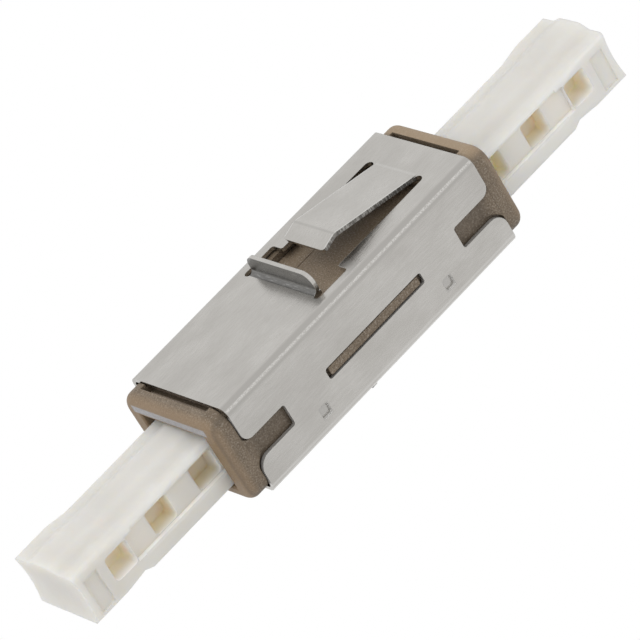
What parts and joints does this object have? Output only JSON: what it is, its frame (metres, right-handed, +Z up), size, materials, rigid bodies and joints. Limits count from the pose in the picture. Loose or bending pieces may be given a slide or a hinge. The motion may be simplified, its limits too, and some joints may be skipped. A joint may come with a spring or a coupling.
{
  "type": "mu fibre adapter",
  "caption": "Slim in-line fibre adapter: two plug ports joined by a split sleeve in a moulded body, a folded steel clip with panel springs and stops, and pull-out dust caps.",
  "frame": {"origin": "on the optical axis, half-way between the two ports", "axes": "+X along the plug axis out of the right-hand port, +Y across the port away from the side with the visible slot, +Z up through the panel spring"},
  "size_m": [0.0512, 0.01, 0.0101],
  "materials": {
    "spring_steel": "satin rolled stainless sheet with brighter, worn folds",
    "housing_tan": "matt filled plastic, warm grey-brown with fine speckle",
    "sleeve_ceramic": "polished white ceramic",
    "cap_white": "slightly translucent off-white moulded plastic"
  },
  "bodies": {
    "adapter": {"shell": "spring_steel", "housing": "housing_tan", "holder_near": "housing_tan", "holder_far": "housing_tan", "split_sleeve": "sleeve_ceramic"},
    "cap_left": {"cap_left": "cap_white"},
    "cap_right": {"cap_right": "cap_white"}
  },
  "joints": [
    {"name": "cap_left_pull", "type": "slide", "parent": "adapter", "child": "cap_left", "axis": [-1, 0, 0], "range_m": [0, 0.006]},
    {"name": "cap_right_pull", "type": "slide", "parent": "adapter", "child": "cap_right", "axis": [1, 0, 0], "range_m": [0, 0.006]}
  ]
}
